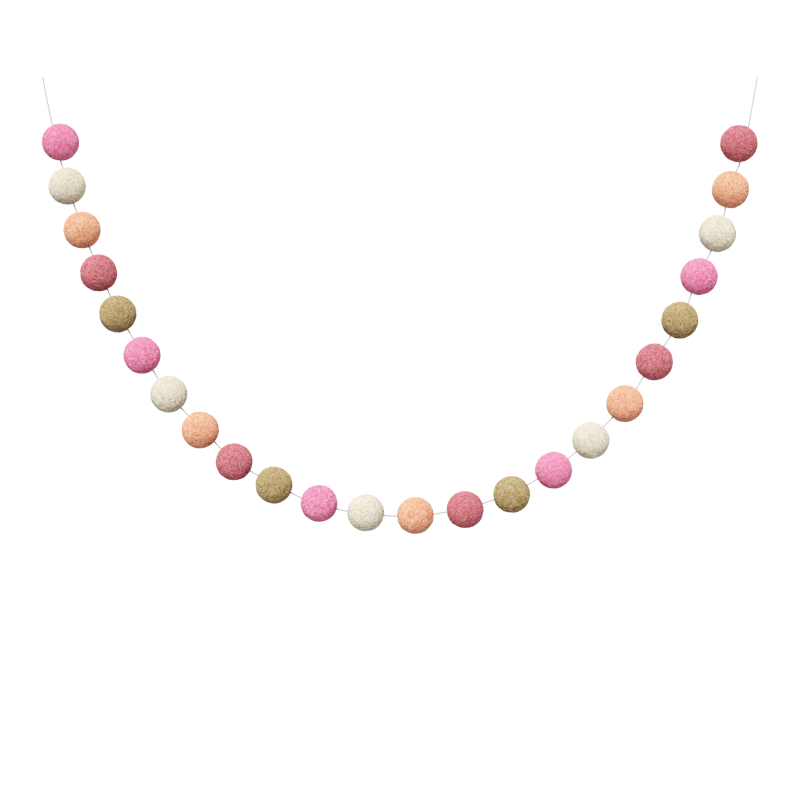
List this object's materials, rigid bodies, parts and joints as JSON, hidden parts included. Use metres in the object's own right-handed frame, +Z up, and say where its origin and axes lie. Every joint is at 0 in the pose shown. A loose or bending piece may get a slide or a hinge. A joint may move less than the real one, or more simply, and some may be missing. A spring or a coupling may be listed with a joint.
{
  "type": "felt ball garland",
  "caption": "Garland of round wool felt balls in pink, cream, peach, rose and khaki, threaded on a thin string and hanging in a U from the string's free ends.",
  "frame": {"origin": "the left end of the string, at the middle of its cut end, where the garland is tied or pinned up", "axes": "+X across to the string's right end, +Y away from the viewer, +Z up; the garland hangs in the XZ plane, below the origin"},
  "size_m": [0.4842, 0.0249, 0.3089],
  "materials": {
    "felt_pink": "matte felted wool",
    "felt_cream": "matte felted wool",
    "felt_peach": "matte felted wool",
    "felt_rose": "matte felted wool",
    "felt_khaki": "matte felted wool",
    "string": "matte twisted cotton"
  },
  "bodies": {
    "root": {"ball_01_pink": "felt_pink", "ball_02_cream": "felt_cream", "ball_03_peach": "felt_peach", "ball_04_rose": "felt_rose", "ball_05_khaki": "felt_khaki", "ball_06_pink": "felt_pink", "ball_07_cream": "felt_cream", "ball_08_peach": "felt_peach", "ball_09_rose": "felt_rose", "ball_10_khaki": "felt_khaki", "ball_11_pink": "felt_pink", "ball_12_cream": "felt_cream", "ball_13_peach": "felt_peach", "ball_14_rose": "felt_rose", "ball_15_khaki": "felt_khaki", "ball_16_pink": "felt_pink", "ball_17_cream": "felt_cream", "ball_18_peach": "felt_peach", "ball_19_rose": "felt_rose", "ball_20_khaki": "felt_khaki", "ball_21_pink": "felt_pink", "ball_22_cream": "felt_cream", "ball_23_peach": "felt_peach", "ball_24_rose": "felt_rose", "string": "string"}
  },
  "joints": []
}
